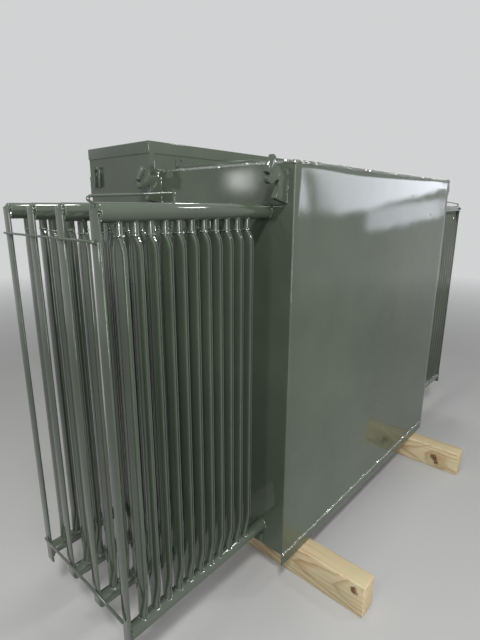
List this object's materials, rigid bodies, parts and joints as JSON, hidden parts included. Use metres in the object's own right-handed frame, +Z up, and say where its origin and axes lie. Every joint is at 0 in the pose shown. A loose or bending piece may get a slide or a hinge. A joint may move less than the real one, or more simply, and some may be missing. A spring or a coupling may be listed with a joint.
{
  "type": "pad-mounted power transformer",
  "caption": "Oil-filled pad-mounted power transformer: welded tank with banks of radiator elements on both sides, terminal cabinet at the front, lifting hooks, on two timbers.",
  "frame": {"origin": "on the floor, in the middle of the footprint", "axes": "+Z up, +Y towards the tank's rear wall, +X towards the left radiators"},
  "size_m": [2.8738, 1.762, 1.8113],
  "materials": {
    "tank_paint": "glossy dark olive green enamel",
    "cabinet_paint": "glossy dark olive green enamel",
    "radiator_paint": "glossy dark olive green enamel",
    "pine": "rough sawn pale pine"
  },
  "bodies": {
    "root": {"timber_left": "pine", "timber_right": "pine", "tank_rear_wall": "tank_paint", "tank_left_wall": "tank_paint", "tank_right_wall": "tank_paint", "tank_front_wall": "tank_paint", "tank_floor": "tank_paint", "tank_cover": "tank_paint", "cover_strip": "tank_paint", "cabinet_left_side": "cabinet_paint", "cabinet_right_side": "cabinet_paint", "cabinet_left_door": "cabinet_paint", "cabinet_right_door": "cabinet_paint", "cabinet_sill": "cabinet_paint", "cabinet_lid": "cabinet_paint", "door_handle": "cabinet_paint", "lid_bracket_left": "cabinet_paint", "lid_bracket_right": "cabinet_paint", "radiator_left_1": "radiator_paint", "radiator_left_2": "radiator_paint", "radiator_left_3": "radiator_paint", "radiator_left_4": "radiator_paint", "radiator_right_1": "radiator_paint", "radiator_right_2": "radiator_paint", "radiator_right_3": "radiator_paint", "radiator_right_4": "radiator_paint", "strap_left_1": "radiator_paint", "strap_left_2": "radiator_paint", "strap_left_3": "radiator_paint", "strap_left_4": "radiator_paint", "strap_right_1": "radiator_paint", "strap_right_2": "radiator_paint", "strap_right_3": "radiator_paint", "strap_right_4": "radiator_paint", "tie_rod_left": "radiator_paint", "tie_rod_right": "radiator_paint", "tie_bar_left": "radiator_paint", "tie_bar_right": "radiator_paint", "bent_rod_left": "radiator_paint", "bent_rod_right": "radiator_paint", "lifting_hook_left_rear": "tank_paint", "lifting_hook_left_front": "tank_paint", "lifting_hook_right_rear": "tank_paint", "lifting_hook_right_front": "tank_paint"}
  },
  "joints": []
}
